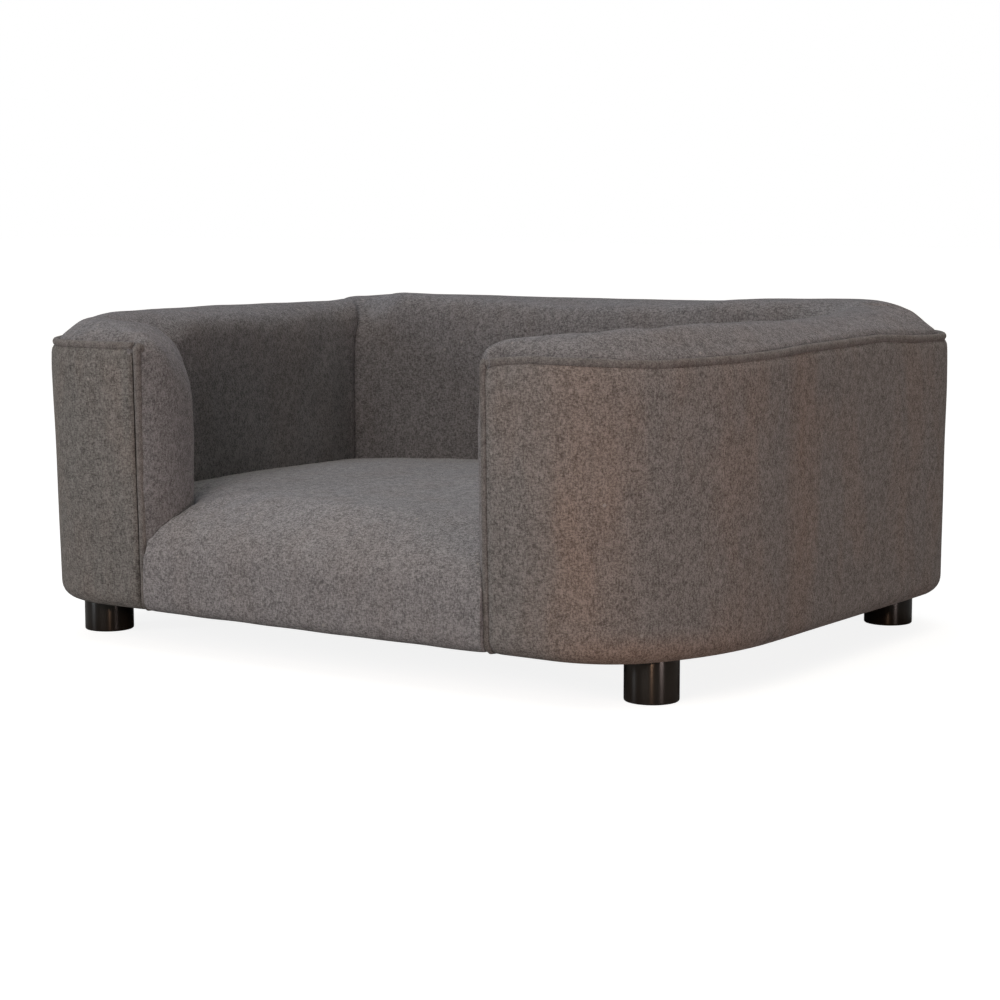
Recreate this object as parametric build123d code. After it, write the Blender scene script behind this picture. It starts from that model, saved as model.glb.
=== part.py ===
from build123d import *

import os
from math import acos, atan2, cos, hypot, radians, sin, sqrt

# Upholstered dog bed: a padded C-shaped wall round a tight domed seat, on four short round legs.
# Millimetres. X runs across the front to the right, Y from front to back, Z up from the floor.
# The origin is on the floor under the middle of the bed.

# Overall size
bed_width = 700
bed_depth = 560
arm_height = 289
back_height = 295
underside_height = 37
crest_rise = 26

# Plan of the wall: a tight arc that eases into the side at the front, a plain arc at the rear
front_tight_radius = 95
front_tight_sweep = 60
front_ease_radius = 240
rear_corner_radius = 105
arm_thickness = 91
nose_thickness = 96
back_thickness = 154
entry_width = 352
nose_bulge = 20

# Rounded tops: the crest's distance from the outer face, and the shoulders towards the seat
arm_crest_inset = 44
back_crest_inset = 77
back_shoulder_radius = 60
nose_shoulder_radius = 60
nose_top_drop = 12
nose_slope_length = 118
crest_lift = 2
bottom_roll_radius = 12

# Seat
seat_crown_height = 142
seat_dome_radius = 3000
seat_dome_y = -22
seat_roll_radius = 55

# Cloth, wadding, boards and piping
cloth_thickness = 2
wadding_thickness = 6
board_thickness = 3
board_lift = 3
turn_under = 30
piping_diameter = 7
dust_cover_thickness = 0.8
dust_cover_inset = 14

# Wooden frame
arm_frame_depth = 40
back_frame_depth = 80
top_pad_thickness = 42
base_thickness = 15
base_edge_radius = 4
base_lip = 26
former_thickness = 12
rail_thickness = 20
rail_height = 28
post_width = 28
nose_padding = 16
front_post_distance = 110
rear_post_distance = 38
back_post_inset = 59

# Webbing
webbing_thickness = 2
webbing_width = 50
webbing_count = 4

# Legs and their hardware
leg_diameter = 44
leg_edge_chamfer = 1.5
leg_side_inset = 62
leg_front_inset = 76
leg_rear_inset = 59
bolt_diameter = 8
bolt_depth_in_leg = 28
nut_barrel_diameter = 10
nut_flange_diameter = 22
nut_flange_thickness = 1.5
nut_length = 12

# Screws and staples
screw_diameter = 4
screw_head_diameter = 8
screw_head_depth = 2.5
screw_length = 34
arm_screw_pitch = 12
back_screw_pitch = 30
rail_screw_count = 3
staple_crown = 10
staple_width = 1.2
staple_thickness = 0.6
staple_inset = 20
staple_count = 36

# Fits
soft_clearance = 0.3
hole_clearance = 0.1
leg_hole_clearance = 1
cut_margin = 50

# Places that follow from the sizes
half_width = bed_width / 2
front = -bed_depth / 2
back = bed_depth / 2
far = bed_width + bed_depth
piping_radius = piping_diameter / 2
entry_half = entry_width / 2
wall_layers = cloth_thickness + wadding_thickness + board_thickness
arm_inner = half_width - arm_thickness
nose_inner = front + nose_thickness
back_inner = back - back_thickness
arm_frame_inner = half_width - wall_layers - arm_frame_depth
nose_frame_inner = front + wall_layers + arm_frame_depth
back_frame_inner = back - wall_layers - back_frame_depth
arm_board_inner = arm_frame_inner - board_thickness
nose_board_inner = nose_frame_inner + board_thickness
back_board_inner = back_frame_inner - board_thickness
nose_post_face = entry_half + nose_padding
base_bottom = underside_height + cloth_thickness
base_top = base_bottom + base_thickness
side_rail_top = base_top + rail_height
cross_rail_top = side_rail_top + webbing_thickness
deck_top = cross_rail_top + webbing_thickness
lower_crest = min(arm_height, back_height)
outer_cover_top = lower_crest - crest_rise
former_top = lower_crest - top_pad_thickness
former_bottom = former_top - former_thickness
piping_seat = piping_diameter + soft_clearance
outer_edge = entry_half + 2 * soft_clearance + piping_diameter

# Centres of the plan's arcs, shared by every offset of the outline
tight_turn = radians(front_tight_sweep)
tight_drop = front_tight_radius * (1 - cos(tight_turn))
ease_drop = front_ease_radius * cos(tight_turn)
ease_centre = (half_width - front_ease_radius, front + tight_drop + ease_drop)
tight_centre = (
    ease_centre[0] + (front_ease_radius - front_tight_radius) * sin(tight_turn),
    front + front_tight_radius,
)
rear_centre = (half_width - rear_corner_radius, back - rear_corner_radius)
back_post_x = rear_centre[0] - back_post_inset


# Basic shapes


def slab(face, bottom, top):
    """A face of the XY plane, extruded from one height to another."""
    return extrude(Pos(0, 0, bottom) * face, amount=top - bottom, dir=(0, 0, 1))


def block(x, y, z):
    """A box between pairs of coordinates."""
    middle = [(pair[0] + pair[1]) / 2 for pair in (x, y, z)]
    size = [pair[1] - pair[0] for pair in (x, y, z)]
    return Pos(*middle) * Box(*size)


def mirrored(shape):
    """The same piece on the left side."""
    return mirror(shape, about=Plane.YZ)


def arc_on(side, centre, radius, start, turn):
    """An arc given for the right side (1), or its mirror image on the left (-1)."""
    if side < 0:
        start = 180 - start - turn
    return CenterArc((side * centre[0], centre[1]), radius, start, turn)


def side_curve(inset, side):
    """Edges of one side of the outline, from the front round to the back."""
    side_x = side * (half_width - inset)
    ease_turn = 90 - front_tight_sweep
    return [
        arc_on(side, tight_centre, front_tight_radius - inset, -90, front_tight_sweep),
        arc_on(side, ease_centre, front_ease_radius - inset, -ease_turn, ease_turn),
        Line((side_x, ease_centre[1]), (side_x, rear_centre[1])),
        arc_on(side, rear_centre, rear_corner_radius - inset, 0, 90),
    ]


def back_line(inset):
    return Line((-rear_centre[0], back - inset), (rear_centre[0], back - inset))


def outline(inset):
    """The bed's plan, drawn in by a distance."""
    front_line = Line((-tight_centre[0], front + inset), (tight_centre[0], front + inset))
    edges = side_curve(inset, 1) + side_curve(inset, -1)
    return make_face(edges + [front_line, back_line(inset)])


def outline_ring(outer_inset, inner_inset, bottom, top):
    """The band of the plan between two insets."""
    return slab(outline(outer_inset), bottom, top) - slab(outline(inner_inset), bottom, top)


def front_gap(half_gap):
    """The space between the noses, as wide as asked, open to the front."""
    return block((-half_gap, half_gap), (2 * front, nose_frame_inner), (0, back_height))


def shoulder_face(inner, outward, crest, radius):
    """Wall section: up the inner face and round a quarter circle that ends just above the crest."""
    top = crest + crest_lift
    end = inner + outward * far
    centre = (inner + outward * radius, top - radius)
    diagonal = radius * sin(radians(45))
    middle = (centre[0] - outward * diagonal, centre[1] + diagonal)
    lower = (inner, centre[1])
    upper = (centre[0], top)
    return make_face(
        [
            Line((inner, deck_top), lower),
            ThreePointArc(lower, middle, upper),
            Polyline(upper, (end, top), (end, deck_top), (inner, deck_top)),
        ]
    )


def dome(inset, crest_inset, crest_height):
    """The plan with a rounded top that rises from the piping to the crest."""
    rise = crest_height - outer_cover_top
    radius = (crest_inset**2 + rise**2) / (2 * rise)
    overhang = radius - crest_inset
    body = slab(outline(inset - overhang), 0, crest_height - inset)
    body = fillet(body.edges().group_by(Axis.Z)[-1], radius - inset)
    return body & slab(outline(inset), 0, crest_height)


# Wall: noses, arms and back

nose_middle_y = front + nose_thickness / 2
nose_radius = ((nose_thickness / 2) ** 2 + nose_bulge**2) / (2 * nose_bulge)
nose_centre_x = entry_half - nose_bulge + nose_radius


def nose_plan(inset):
    """Plan of the right nose: the front wall with an arc that bulges into the entry."""
    radius = nose_radius - inset
    half_depth = nose_thickness / 2 - inset
    start_x = nose_centre_x - sqrt(radius**2 - half_depth**2)
    near = (start_x, nose_middle_y - half_depth)
    tip = (nose_centre_x - radius, nose_middle_y)
    rear = (start_x, nose_middle_y + half_depth)
    return make_face(
        [
            ThreePointArc(rear, tip, near),
            Polyline(near, (far, near[1]), (far, rear[1]), rear),
        ]
    )


def nose_elevation(inset):
    """Front view of the right nose: upright, then round a shoulder and up a slope to the crest."""
    radius = nose_shoulder_radius - inset
    face_x = entry_half - nose_bulge + inset
    centre_z = arm_height - nose_top_drop - nose_shoulder_radius
    centre = (face_x + radius, centre_z)
    crest = (entry_half - nose_bulge + nose_slope_length, arm_height - inset)
    run = (crest[0] - centre[0], crest[1] - centre[1])
    turn = atan2(run[1], run[0]) + acos(radius / hypot(*run))
    half_turn = (turn + radians(180)) / 2
    lower = (face_x, centre_z)
    middle = (centre[0] + radius * cos(half_turn), centre[1] + radius * sin(half_turn))
    upper = (centre[0] + radius * cos(turn), centre[1] + radius * sin(turn))
    beyond = (2 * crest[0] - upper[0], 2 * crest[1] - upper[1])
    return make_face(
        [
            Line((face_x, 0), lower),
            ThreePointArc(lower, middle, upper),
            Polyline(upper, beyond, (far, beyond[1]), (far, 0), (face_x, 0)),
        ]
    )


def back_region(forward):
    """Everything behind the two mitred corner seams, moved to the front by a distance."""
    corner_y = back_inner - forward
    points = [
        (-arm_inner, corner_y),
        (arm_inner, corner_y),
        (arm_inner + far, corner_y + far),
        (-arm_inner - far, corner_y + far),
    ]
    return slab(make_face(Polyline(*points, close=True)), 0, back_height)


def arm_body(inset):
    """Right arm with its nose, drawn in by a distance."""
    crest = arm_height - inset
    side_radius = arm_thickness - arm_crest_inset - inset
    nose_section_radius = nose_thickness - arm_crest_inset - inset
    side_face = shoulder_face(arm_inner + inset, 1, crest, side_radius)
    side = extrude(Plane.XZ * side_face, amount=far, both=True)
    nose_face = shoulder_face(nose_inner - inset, -1, crest, nose_section_radius)
    nose = extrude(Plane.YZ * nose_face, amount=far, both=True)
    nose = nose & slab(nose_plan(inset), 0, arm_height)
    nose = nose & extrude(Plane.XZ * nose_elevation(inset), amount=far, both=True)
    body = (side + nose) & dome(inset, arm_crest_inset, arm_height)
    return body - back_region(soft_clearance)


def back_body(inset):
    """Back of the wall between the corner seams, drawn in by a distance."""
    crest = back_height - inset
    face = shoulder_face(back_inner + inset, 1, crest, back_shoulder_radius - inset)
    body = extrude(Plane.YZ * face, amount=far, both=True)
    return body & dome(inset, back_crest_inset, back_height) & back_region(0)


# Space that the wall's boards, posts, top former and outer layers keep free of foam
well = block(
    (-arm_board_inner, arm_board_inner),
    (nose_board_inner, back_board_inner),
    (0, back_height),
)
former_opening = block(
    (-arm_frame_inner, arm_frame_inner),
    (nose_frame_inner, back_frame_inner),
    (0, back_height),
)
former_opening = former_opening & slab(outline(wall_layers + arm_frame_depth), 0, back_height)
former_blank = slab(outline(wall_layers), former_bottom, former_top)
former_blank = former_blank - former_opening - front_gap(nose_post_face)
frame_space = slab(outline(wall_layers), 0, former_top) - well - front_gap(nose_post_face)
layer_space = outline_ring(-cut_margin, wall_layers + soft_clearance, 0, outer_cover_top)
layer_space -= front_gap(entry_half)
piping_space = outline_ring(-cut_margin, piping_seat, 0, back_height) - front_gap(entry_half)


def cover_of(body):
    """The cloth skin of a padded body, open where the frame is."""
    return body(0) - body(cloth_thickness) - layer_space - piping_space


def foam_of(body):
    """The filling of a padded body, round the frame."""
    filling = body(cloth_thickness + soft_clearance)
    return filling - former_blank - frame_space - layer_space - piping_space


right_arm_cover = cover_of(arm_body)
right_arm_foam = foam_of(arm_body)
back_cover = cover_of(back_body)
back_foam = foam_of(back_body)


# Seat: one dome that rolls over the front between the noses


def seat_body(inset):
    gap = inset + soft_clearance
    side_x = arm_inner - gap
    plan = Pos(0, (front + inset + back_inner - gap) / 2) * Rectangle(
        2 * side_x, back_inner - gap - front - inset
    )
    nose = nose_plan(-gap)
    plan = plan - nose - mirrored(nose)
    body = slab(plan, underside_height + inset, arm_height)
    dome_centre = Pos(0, seat_dome_y, seat_crown_height - seat_dome_radius)
    body = body & dome_centre * Sphere(seat_dome_radius - inset)
    front_face = body.faces().sort_by(Axis.Y)[0]
    front_edges = front_face.edges().sort_by(Axis.Z)
    body = fillet(front_edges[-1], seat_roll_radius - inset)
    front_face = body.faces().sort_by(Axis.Y)[0]
    return fillet(front_face.edges().sort_by(Axis.Z)[0], bottom_roll_radius - inset)


rail_front = front + wall_layers
seat_frame_space = block(
    (-half_width, half_width),
    (rail_front - soft_clearance, back),
    (base_bottom, deck_top),
)
behind_turn = block(
    (-half_width, half_width),
    (front + turn_under, back),
    (0, deck_top),
)
seat_cover = seat_body(0) - seat_body(cloth_thickness) - seat_frame_space - behind_turn
seat_foam = seat_body(cloth_thickness + soft_clearance) - seat_frame_space - behind_turn


# Legs, hanger bolts and tee nuts

leg_x = half_width - leg_side_inset
leg_places = {
    "front_left": (-leg_x, front + leg_front_inset),
    "front_right": (leg_x, front + leg_front_inset),
    "rear_left": (-leg_x, back - leg_rear_inset),
    "rear_right": (leg_x, back - leg_rear_inset),
}
bolt_bottom = base_bottom - bolt_depth_in_leg
nut_bottom = base_top - nut_length
nut_flange_bottom = base_top - nut_flange_thickness


def rod(diameter, bottom, top):
    return Pos(0, 0, (bottom + top) / 2) * Cylinder(diameter / 2, top - bottom)


def at_legs(shape):
    return [Pos(x, y) * shape for x, y in leg_places.values()]


bolt = rod(bolt_diameter, bolt_bottom, nut_flange_bottom)
bolt_hole = rod(bolt_diameter + 2 * hole_clearance, bolt_bottom - hole_clearance, base_top)
nut = rod(nut_barrel_diameter, nut_bottom, base_top) + rod(
    nut_flange_diameter, nut_flange_bottom, base_top
)
nut = nut - bolt_hole
nut_hole = rod(nut_barrel_diameter + 2 * hole_clearance, nut_bottom, base_top) + rod(
    nut_flange_diameter + 2 * hole_clearance, nut_flange_bottom, base_top
)
leg = rod(leg_diameter, 0, base_bottom)
leg = chamfer(leg.edges().group_by(Axis.Z)[0], leg_edge_chamfer)
leg = leg - bolt_hole
leg_hole = rod(leg_diameter + 2 * leg_hole_clearance, 0, base_bottom)


# Base ring, rails and webbing

front_rail = block(
    (-nose_post_face, nose_post_face),
    (rail_front, rail_front + rail_thickness),
    (base_top, cross_rail_top),
)
back_rail_front = back_board_inner - rail_thickness
side_rail_inner = arm_board_inner - rail_thickness
back_rail = block(
    (-side_rail_inner, side_rail_inner),
    (back_rail_front, back_board_inner),
    (base_top, cross_rail_top),
)
right_rail = block(
    (side_rail_inner, arm_board_inner),
    (nose_board_inner, back_board_inner),
    (base_top, side_rail_top),
)

base_ring = slab(outline(wall_layers), base_bottom, base_top)
base_ring = fillet(base_ring.edges().group_by(Axis.Z)[0], base_edge_radius)
base_ring = base_ring - block(
    (base_lip - side_rail_inner, side_rail_inner - base_lip),
    (rail_front + rail_thickness + base_lip, back_rail_front - base_lip),
    (0, back_height),
)


def spread(first, last, count):
    """Places spaced evenly, with half a step of room at each end."""
    step = (last - first) / count
    return [first + step * (index + 0.5) for index in range(count)]


cross_webbing = [
    block(
        (-arm_board_inner, arm_board_inner),
        (y - webbing_width / 2, y + webbing_width / 2),
        (side_rail_top, cross_rail_top),
    )
    for y in spread(nose_board_inner, back_rail_front, webbing_count)
]
long_webbing = [
    block(
        (x - webbing_width / 2, x + webbing_width / 2),
        (rail_front, back_board_inner),
        (cross_rail_top, deck_top),
    )
    for x in spread(-nose_post_face, nose_post_face, webbing_count)
]


# Posts, top former and boards

frame_plan = slab(outline(wall_layers), base_top, former_bottom)
arm_post_x = (arm_frame_inner, half_width)
nose_post_y = (front, nose_frame_inner)
front_post_y = front + front_post_distance
rear_post_y = back_inner - rear_post_distance


def post(x, y):
    return block(x, y, (base_top, former_bottom)) & frame_plan


posts = {
    "nose_post": post((nose_post_face, nose_post_face + post_width), nose_post_y),
    "front_post": post(arm_post_x, (front_post_y - post_width / 2, front_post_y + post_width / 2)),
    "rear_post": post(arm_post_x, (rear_post_y - post_width / 2, rear_post_y + post_width / 2)),
    "back_post": post(
        (back_post_x - post_width / 2, back_post_x + post_width / 2),
        (back_frame_inner, back),
    ),
}

board_heights = (base_top, former_bottom)
right_inner_board = frame_plan & block(
    (arm_board_inner, arm_frame_inner),
    (nose_frame_inner, back_frame_inner),
    board_heights,
)
right_nose_board = frame_plan & block(
    (nose_post_face, arm_board_inner),
    (nose_frame_inner, nose_board_inner),
    board_heights,
)
back_inner_board = block(
    (-arm_board_inner, arm_board_inner),
    (back_board_inner, back_frame_inner),
    board_heights,
)


# Outer board, wadding and covers

board_inset = cloth_thickness + wadding_thickness
outer_board = outline_ring(board_inset, wall_layers, base_bottom + board_lift, outer_cover_top)
outer_board = outer_board - front_gap(nose_post_face)


def rolled_plan(inset):
    """The plan raised from the underside, with its bottom edge rolled under."""
    body = slab(outline(inset), underside_height + inset, outer_cover_top)
    return fillet(body.edges().group_by(Axis.Z)[0], bottom_roll_radius - inset)


wadding_fit = cloth_thickness + soft_clearance
outer_wadding = rolled_plan(wadding_fit) - slab(outline(board_inset), 0, outer_cover_top)
outer_wadding = outer_wadding - front_gap(outer_edge)

outer_cover = rolled_plan(0) - rolled_plan(cloth_thickness)
outer_cover = outer_cover - slab(outline(turn_under), 0, base_bottom) - front_gap(outer_edge)
outer_cover = outer_cover - at_legs(leg_hole)
seat_cover = seat_cover - at_legs(leg_hole)
rear_middle = block(
    (-rear_centre[0], rear_centre[0]),
    (0, far),
    (0, back_height),
)
right_half = block((0, far), (-far, far), (0, back_height))
outer_back_cover = outer_cover & rear_middle
outer_right_cover = (outer_cover - rear_middle) & right_half

dust_cover = slab(
    outline(dust_cover_inset), underside_height - dust_cover_thickness, underside_height
)
dust_cover = dust_cover - at_legs(leg_hole)


# Piping

piping_height = outer_cover_top + piping_radius
piping_y = front + piping_radius
piping_path = Pos(0, 0, piping_height) * Wire(
    [Line((-outer_edge, piping_y), (-tight_centre[0], piping_y))]
    + side_curve(piping_radius, -1)
    + [back_line(piping_radius)]
    + side_curve(piping_radius, 1)
    + [Line((tight_centre[0], piping_y), (outer_edge, piping_y))]
)
piping_section = Plane(piping_path @ 0, z_dir=piping_path % 0) * Circle(piping_radius)
top_piping = sweep(piping_section, piping_path)
nose_piping = rod(piping_diameter, underside_height, outer_cover_top + piping_diameter)
right_nose_piping = Pos(entry_half + soft_clearance + piping_radius, piping_y) * nose_piping


# Screws and staples


def screw(clearance):
    """A countersunk screw that points up from the height of its head, or the hole for it."""
    radius = screw_diameter / 2 + clearance
    head_radius = screw_head_diameter / 2 + clearance
    length = screw_length + clearance
    head = Pos(0, 0, screw_head_depth / 2) * Cone(head_radius, radius, screw_head_depth)
    return head + Pos(0, 0, length / 2) * Cylinder(radius, length)


nose_middle = nose_frame_inner - arm_frame_depth / 2
arm_middle = arm_frame_inner + arm_screw_pitch
back_middle = back_frame_inner + back_frame_depth / 2
nose_post_x = nose_post_face + post_width / 2
right_post_screws = [
    (nose_post_x, nose_middle - arm_screw_pitch / 2),
    (nose_post_x, nose_middle + arm_screw_pitch / 2),
    (arm_middle - arm_screw_pitch / 2, front_post_y),
    (arm_middle + arm_screw_pitch / 2, front_post_y),
    (arm_middle - arm_screw_pitch / 2, rear_post_y),
    (arm_middle + arm_screw_pitch / 2, rear_post_y),
    (back_post_x, back_middle - back_screw_pitch / 2),
    (back_post_x, back_middle + back_screw_pitch / 2),
]
post_screws = right_post_screws + [(-x, y) for x, y in right_post_screws]
side_rail_x = arm_board_inner - rail_thickness / 2
front_rail_y = rail_front + rail_thickness / 2
back_rail_y = back_board_inner - rail_thickness / 2
cross_places = spread(-nose_post_face, nose_post_face, rail_screw_count)
side_places = spread(nose_board_inner + leg_diameter, back_rail_front, rail_screw_count)
rail_screws = [(x, y) for x in cross_places for y in (front_rail_y, back_rail_y)]
rail_screws += [(x, y) for x in (-side_rail_x, side_rail_x) for y in side_places]


def upward(places, clearance):
    return [Pos(x, y, base_bottom) * screw(clearance) for x, y in places]


def downward(places, clearance):
    turned = Rot(180, 0, 0) * screw(clearance)
    return [Pos(x, y, former_top) * turned for x, y in places]


base_screws = upward(post_screws + rail_screws, 0)
former_screws = downward(post_screws, 0)
base_holes = upward(post_screws + rail_screws, hole_clearance)
former_holes = downward(post_screws, hole_clearance)

base_ring = base_ring - base_holes - at_legs(nut_hole) - at_legs(bolt_hole)
top_former = former_blank - former_holes
front_rail = front_rail - base_holes
back_rail = back_rail - base_holes
right_rail = right_rail - base_holes
posts = {name: shape - base_holes - former_holes for name, shape in posts.items()}

staple_line = outline(staple_inset).face().outer_wire()
staple_z = underside_height - dust_cover_thickness - staple_thickness / 2
staple_bar = Box(staple_crown, staple_width, staple_thickness)


def clear_of_legs(point):
    gap = leg_diameter / 2 + leg_hole_clearance + staple_crown
    return all(hypot(point.X - x, point.Y - y) > gap for x, y in leg_places.values())


staples = []
for index in range(staple_count):
    share = (index + 0.5) / staple_count
    point = staple_line @ share
    along = staple_line % share
    if clear_of_legs(point):
        turn = Rot(0, 0, Vector(1, 0).get_signed_angle(along, Vector(0, 0, 1)))
        staples.append(Pos(point.X, point.Y, staple_z) * turn * staple_bar)


# Write one file for each piece, and print what was made

nodes = {
    "base_ring": base_ring,
    "front_rail": front_rail,
    "back_rail": back_rail,
    "left_rail": mirrored(right_rail),
    "right_rail": right_rail,
    "cross_webbing": cross_webbing,
    "long_webbing": long_webbing,
    "top_former": top_former,
    "outer_board": outer_board,
    "left_inner_board": mirrored(right_inner_board),
    "right_inner_board": right_inner_board,
    "left_nose_board": mirrored(right_nose_board),
    "right_nose_board": right_nose_board,
    "back_inner_board": back_inner_board,
    "outer_wadding": outer_wadding,
    "left_arm_foam": mirrored(right_arm_foam),
    "right_arm_foam": right_arm_foam,
    "back_foam": back_foam,
    "seat_foam": seat_foam,
    "left_arm_cover": mirrored(right_arm_cover),
    "right_arm_cover": right_arm_cover,
    "back_cover": back_cover,
    "seat_cover": seat_cover,
    "outer_left_cover": mirrored(outer_right_cover),
    "outer_right_cover": outer_right_cover,
    "outer_back_cover": outer_back_cover,
    "dust_cover": dust_cover,
    "top_piping": top_piping,
    "left_nose_piping": mirrored(right_nose_piping),
    "right_nose_piping": right_nose_piping,
    "leg_bolts": at_legs(bolt),
    "tee_nuts": at_legs(nut),
    "base_screws": base_screws,
    "former_screws": former_screws,
    "dust_cover_staples": staples,
}
for name, shape in posts.items():
    nodes["left_" + name] = mirrored(shape)
    nodes["right_" + name] = shape
for name, place in leg_places.items():
    nodes["leg_" + name] = Pos(*place) * leg

os.makedirs("parts", exist_ok=True)
all_solids = []
for name, shape in nodes.items():
    pieces = shape if isinstance(shape, list) else [shape]
    solids = [solid for piece in pieces for solid in piece.solids()]
    all_solids += solids
    export_step(Compound(children=solids), f"parts/{name}.step")
    volume = sum(solid.volume for solid in solids) / 1000
    print(f"{name}: {len(solids)} solids, {volume:.1f} cm3")

box = Compound(children=all_solids).bounding_box()
print(f"{len(nodes)} nodes, box {box.size.X:.1f} x {box.size.Y:.1f} x {box.size.Z:.1f}")
print(f"lowest point {box.min.Z:.2f}, middle {(box.min.X + box.max.X) / 2:.2f},", end=" ")
print(f"{(box.min.Y + box.max.Y) / 2:.2f}")
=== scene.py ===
# %% [markdown]
# An upholstered dog bed: a padded wall that runs round three sides, a tight domed seat,
# cord piping along the top seam and four short lacquered legs.
# The CAD model is loaded first and stays fixed. Its wooden frame and its metal keep their shapes.
# Every soft solid is replaced here by a piece that looks sewn and stuffed, and the legs by turned pegs.

# %% Load the frame
import math

import bpy
import numpy as np
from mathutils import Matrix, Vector, noise
from mathutils.bvhtree import BVHTree


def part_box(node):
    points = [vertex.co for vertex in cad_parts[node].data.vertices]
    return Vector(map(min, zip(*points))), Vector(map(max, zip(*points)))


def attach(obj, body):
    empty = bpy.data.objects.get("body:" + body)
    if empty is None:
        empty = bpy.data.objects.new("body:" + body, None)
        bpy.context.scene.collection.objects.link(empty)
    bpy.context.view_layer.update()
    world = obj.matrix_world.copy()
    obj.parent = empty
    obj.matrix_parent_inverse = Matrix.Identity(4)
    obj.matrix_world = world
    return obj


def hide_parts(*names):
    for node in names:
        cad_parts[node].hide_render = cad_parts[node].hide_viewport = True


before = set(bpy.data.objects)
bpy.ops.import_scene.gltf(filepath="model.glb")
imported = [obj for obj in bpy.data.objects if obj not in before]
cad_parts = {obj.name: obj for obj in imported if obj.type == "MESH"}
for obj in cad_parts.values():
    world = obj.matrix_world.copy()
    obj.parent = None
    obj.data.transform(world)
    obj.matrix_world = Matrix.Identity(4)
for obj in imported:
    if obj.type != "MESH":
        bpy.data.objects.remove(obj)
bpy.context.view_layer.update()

MM = 0.001


# %% [markdown]
# The photograph was taken from the front right, a little above the bed, with a long lens.
# A camera far away with a long lens keeps the sides nearly parallel, as they are there.
# A small shift puts the bed where it sits in the square frame.

# %% Camera
camera_data = bpy.data.cameras.new("camera")
camera_data.sensor_width = 36
camera_data.lens = 87.67
camera_data.shift_x = -0.0216
camera_data.shift_y = 0.0125
camera = bpy.data.objects.new("camera", camera_data)
camera.location = (1.24841, -1.81224, 0.39138)
camera.rotation_euler = (math.radians(82.585), 0, math.radians(33.956))
scene = bpy.context.scene
scene.collection.objects.link(camera)
scene.camera = camera
scene.view_settings.view_transform = "Standard"
print("camera at", tuple(round(value, 3) for value in camera.location))


# %% [markdown]
# Colours are written as they look on a screen, from 0 to 255, and Blender wants them as light.
# One short helper turns the first into the second, so each number below can be read as a paint.
# The others add a shader node or a whole material with its values filled in.

# %% Colours as light


def paint(red, green, blue):
    """A screen colour as the linear light that a shader socket takes."""
    channels = []
    for value in (red, green, blue):
        share = value / 255
        channels.append(share / 12.92 if share <= 0.04045 else ((share + 0.055) / 1.055) ** 2.4)
    return (*channels, 1)


def fill_sockets(made, values):
    """Puts plain values into a node's sockets."""
    for name, value in values.items():
        made.inputs[name].default_value = value


def node(tree, kind, values=None, **settings):
    """A shader node with its sockets and its settings filled in."""
    made = tree.nodes.new(kind)
    for name, value in settings.items():
        setattr(made, name, value)
    fill_sockets(made, values or {})
    return made


def principled(name, values):
    """A new material, its node tree and its main shader with some sockets filled in."""
    material = bpy.data.materials.new(name)
    material.use_nodes = True
    shader = material.node_tree.nodes["Principled BSDF"]
    fill_sockets(shader, values)
    return material, material.node_tree, shader


print("a charcoal of 110 is", round(paint(110, 110, 110)[0], 3), "as light")


# %% [markdown]
# A studio sweep is a pale floor that runs out of the frame. The camera sees it nearly white,
# while the light that it gives back to the bed stays plain, and the soft shadow is kept.
# The sky shines mostly from straight above, like a large cloth ceiling: that lights the seat and
# the tops of the arms and leaves the insides of the walls dark.

# %% Floor and sky
bpy.ops.object.select_all(action="DESELECT")
bpy.ops.mesh.primitive_plane_add(size=30, location=(0, 0, 0))
floor = bpy.context.object
floor.name = "studio_floor"
floor_paint = bpy.data.materials.new("floor_paint")
floor_paint.use_nodes = True
tree = floor_paint.node_tree
tree.nodes.clear()
floor_seen = node(tree, "ShaderNodeLightPath")
floor_matt = node(tree, "ShaderNodeBsdfDiffuse", {"Color": paint(170, 168, 166)})
floor_glow = node(tree, "ShaderNodeEmission", {"Color": paint(255, 255, 255), "Strength": 0.87})
floor_both = node(tree, "ShaderNodeAddShader")
floor_mix = node(tree, "ShaderNodeMixShader")
floor_out = node(tree, "ShaderNodeOutputMaterial")
tree.links.new(floor_matt.outputs[0], floor_both.inputs[0])
tree.links.new(floor_glow.outputs[0], floor_both.inputs[1])
tree.links.new(floor_seen.outputs["Is Camera Ray"], floor_mix.inputs[0])
tree.links.new(floor_matt.outputs[0], floor_mix.inputs[1])
tree.links.new(floor_both.outputs[0], floor_mix.inputs[2])
tree.links.new(floor_mix.outputs[0], floor_out.inputs["Surface"])
floor.data.materials.append(floor_paint)

sky = bpy.data.worlds.new("studio_sky")
sky.use_nodes = True
scene.world = sky
tree = sky.node_tree
tree.nodes.clear()
sky_seen = node(tree, "ShaderNodeLightPath")
sky_way = node(tree, "ShaderNodeTexCoord")
sky_up = node(tree, "ShaderNodeSeparateXYZ")
sky_level = node(tree, "ShaderNodeMapRange", {"From Min": 0.5, "From Max": 1.0, "To Max": 0.97})
sky_level.interpolation_type = "SMOOTHSTEP"
sky_light = node(tree, "ShaderNodeBackground", {"Color": paint(255, 255, 245)})
sky_white = node(tree, "ShaderNodeBackground", {"Color": paint(255, 255, 255), "Strength": 1.0})
sky_mix = node(tree, "ShaderNodeMixShader")
sky_out = node(tree, "ShaderNodeOutputWorld")
tree.links.new(sky_way.outputs["Generated"], sky_up.inputs[0])
tree.links.new(sky_up.outputs["Z"], sky_level.inputs["Value"])
tree.links.new(sky_level.outputs[0], sky_light.inputs["Strength"])
tree.links.new(sky_seen.outputs["Is Camera Ray"], sky_mix.inputs[0])
tree.links.new(sky_light.outputs[0], sky_mix.inputs[1])
tree.links.new(sky_white.outputs[0], sky_mix.inputs[2])
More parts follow.
